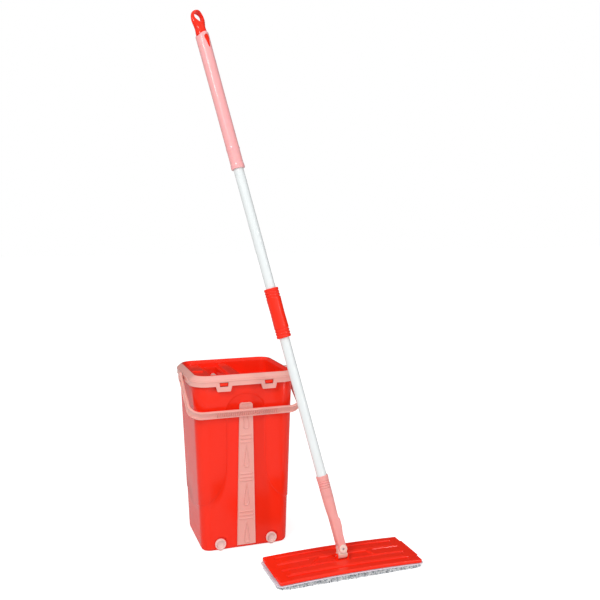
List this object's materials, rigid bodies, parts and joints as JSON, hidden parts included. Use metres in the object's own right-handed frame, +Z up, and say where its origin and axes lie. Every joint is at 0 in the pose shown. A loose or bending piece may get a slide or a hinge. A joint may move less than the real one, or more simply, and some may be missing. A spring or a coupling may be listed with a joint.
{
  "type": "flat mop with wash and squeeze bucket",
  "caption": "Flat mop with jointed two-part pole, and a tall bucket with bail, drain plugs and a lift-out squeeze insert.",
  "frame": {"origin": "middle of the bucket's flat foot, on the floor", "axes": "+Z up, the bucket's front faces -Y, +X to its right; the mop stands in front of it, its pole leaning left and back"},
  "size_m": [0.4585, 0.4343, 1.1834],
  "materials": {
    "red_plastic": "glossy moulded, fine flow marks",
    "pink_plastic": "glossy moulded",
    "pale_plastic": "satin moulded",
    "soft_plug": "soft satin elastomer",
    "grip_pink": "soft satin",
    "tube_white": "white coated steel",
    "pin_steel": "drawn steel",
    "hook_tape": "woven hook tape",
    "pad_cloth": "knitted backing cloth",
    "pad_pile": "grey and white microfibre pile",
    "washer_grey": "flat washer"
  },
  "bodies": {
    "bucket": {"bucket_tub": "red_plastic", "front_strip": "pink_plastic", "rim_frame": "pink_plastic"},
    "wringer": {"wringer_deck": "red_plastic", "scraper_blade": "pale_plastic", "roller_axle": "pin_steel"},
    "roller": {"squeeze_roller": "pale_plastic"},
    "bail": {"bail_handle": "pink_plastic"},
    "left_plug": {"drain_plug_left": "soft_plug"},
    "right_plug": {"drain_plug_right": "soft_plug"},
    "mop_head": {"mop_plate": "red_plastic", "hook_strip_front": "hook_tape", "hook_strip_back": "hook_tape", "pad_backing": "pad_cloth", "mop_pad": "pad_pile", "tilt_pin": "pin_steel"},
    "knuckle": {"knuckle_block": "pale_plastic", "swing_pin": "pin_steel"},
    "lower_pole": {"pole_socket": "pink_plastic", "lower_tube": "tube_white", "tube_plug": "pink_plastic", "coupling_sleeve": "red_plastic"},
    "washer": {"coupling_washer": "washer_grey"},
    "upper_pole": {"upper_tube": "tube_white", "thread_plug": "pink_plastic", "grip_sleeve": "grip_pink", "loop_cap": "red_plastic"}
  },
  "joints": [
    {"name": "wringer_lift", "type": "slide", "parent": "bucket", "child": "wringer", "axis": [0, 0, 1], "range_m": [0, 0.12]},
    {"name": "roller_spin", "type": "hinge", "parent": "wringer", "child": "roller", "pos_m": [-0.0345, 0, 0.366], "axis": [0, 1, 0], "continuous": true},
    {"name": "bail_swing", "type": "hinge", "parent": "bucket", "child": "bail", "pos_m": [0, 0, 0.383], "axis": [-1, 0, 0], "range_deg": [0, 239]},
    {"name": "left_plug_pull", "type": "slide", "parent": "bucket", "child": "left_plug", "axis": [0, -1, 0], "range_m": [0, 0.03]},
    {"name": "right_plug_pull", "type": "slide", "parent": "bucket", "child": "right_plug", "axis": [0, -1, 0], "range_m": [0, 0.03]},
    {"name": "mop_stroke", "type": "slide", "parent": "bucket", "child": "mop_head", "axis": [0, -1, 0], "range_m": [0, 0.3]},
    {"name": "knuckle_tilt", "type": "hinge", "parent": "mop_head", "child": "knuckle", "pos_m": [0.1671, -0.2523, 0.0245], "axis": [1, 0.0094, 0], "range_deg": [-4, 63]},
    {"name": "pole_swing", "type": "hinge", "parent": "knuckle", "child": "lower_pole", "pos_m": [0.16707, -0.24959, 0.03925], "axis": [-0.0093, 0.9835, -0.1805], "range_deg": [-72, 97]},
    {"name": "pole_draw", "type": "slide", "parent": "lower_pole", "child": "washer", "axis": [-0.2111, 0.1745, 0.9618], "range_m": [0, 0.018]},
    {"name": "pole_unscrew", "type": "hinge", "parent": "washer", "child": "upper_pole", "pos_m": [0.06152, -0.16233, 0.52013], "axis": [-0.2111, 0.1745, 0.9618], "range_deg": [0, 1081]}
  ],
  "couplings": [
    {"joint": "pole_unscrew", "follows": "pole_draw", "rad_per_m": 1047.2}
  ]
}
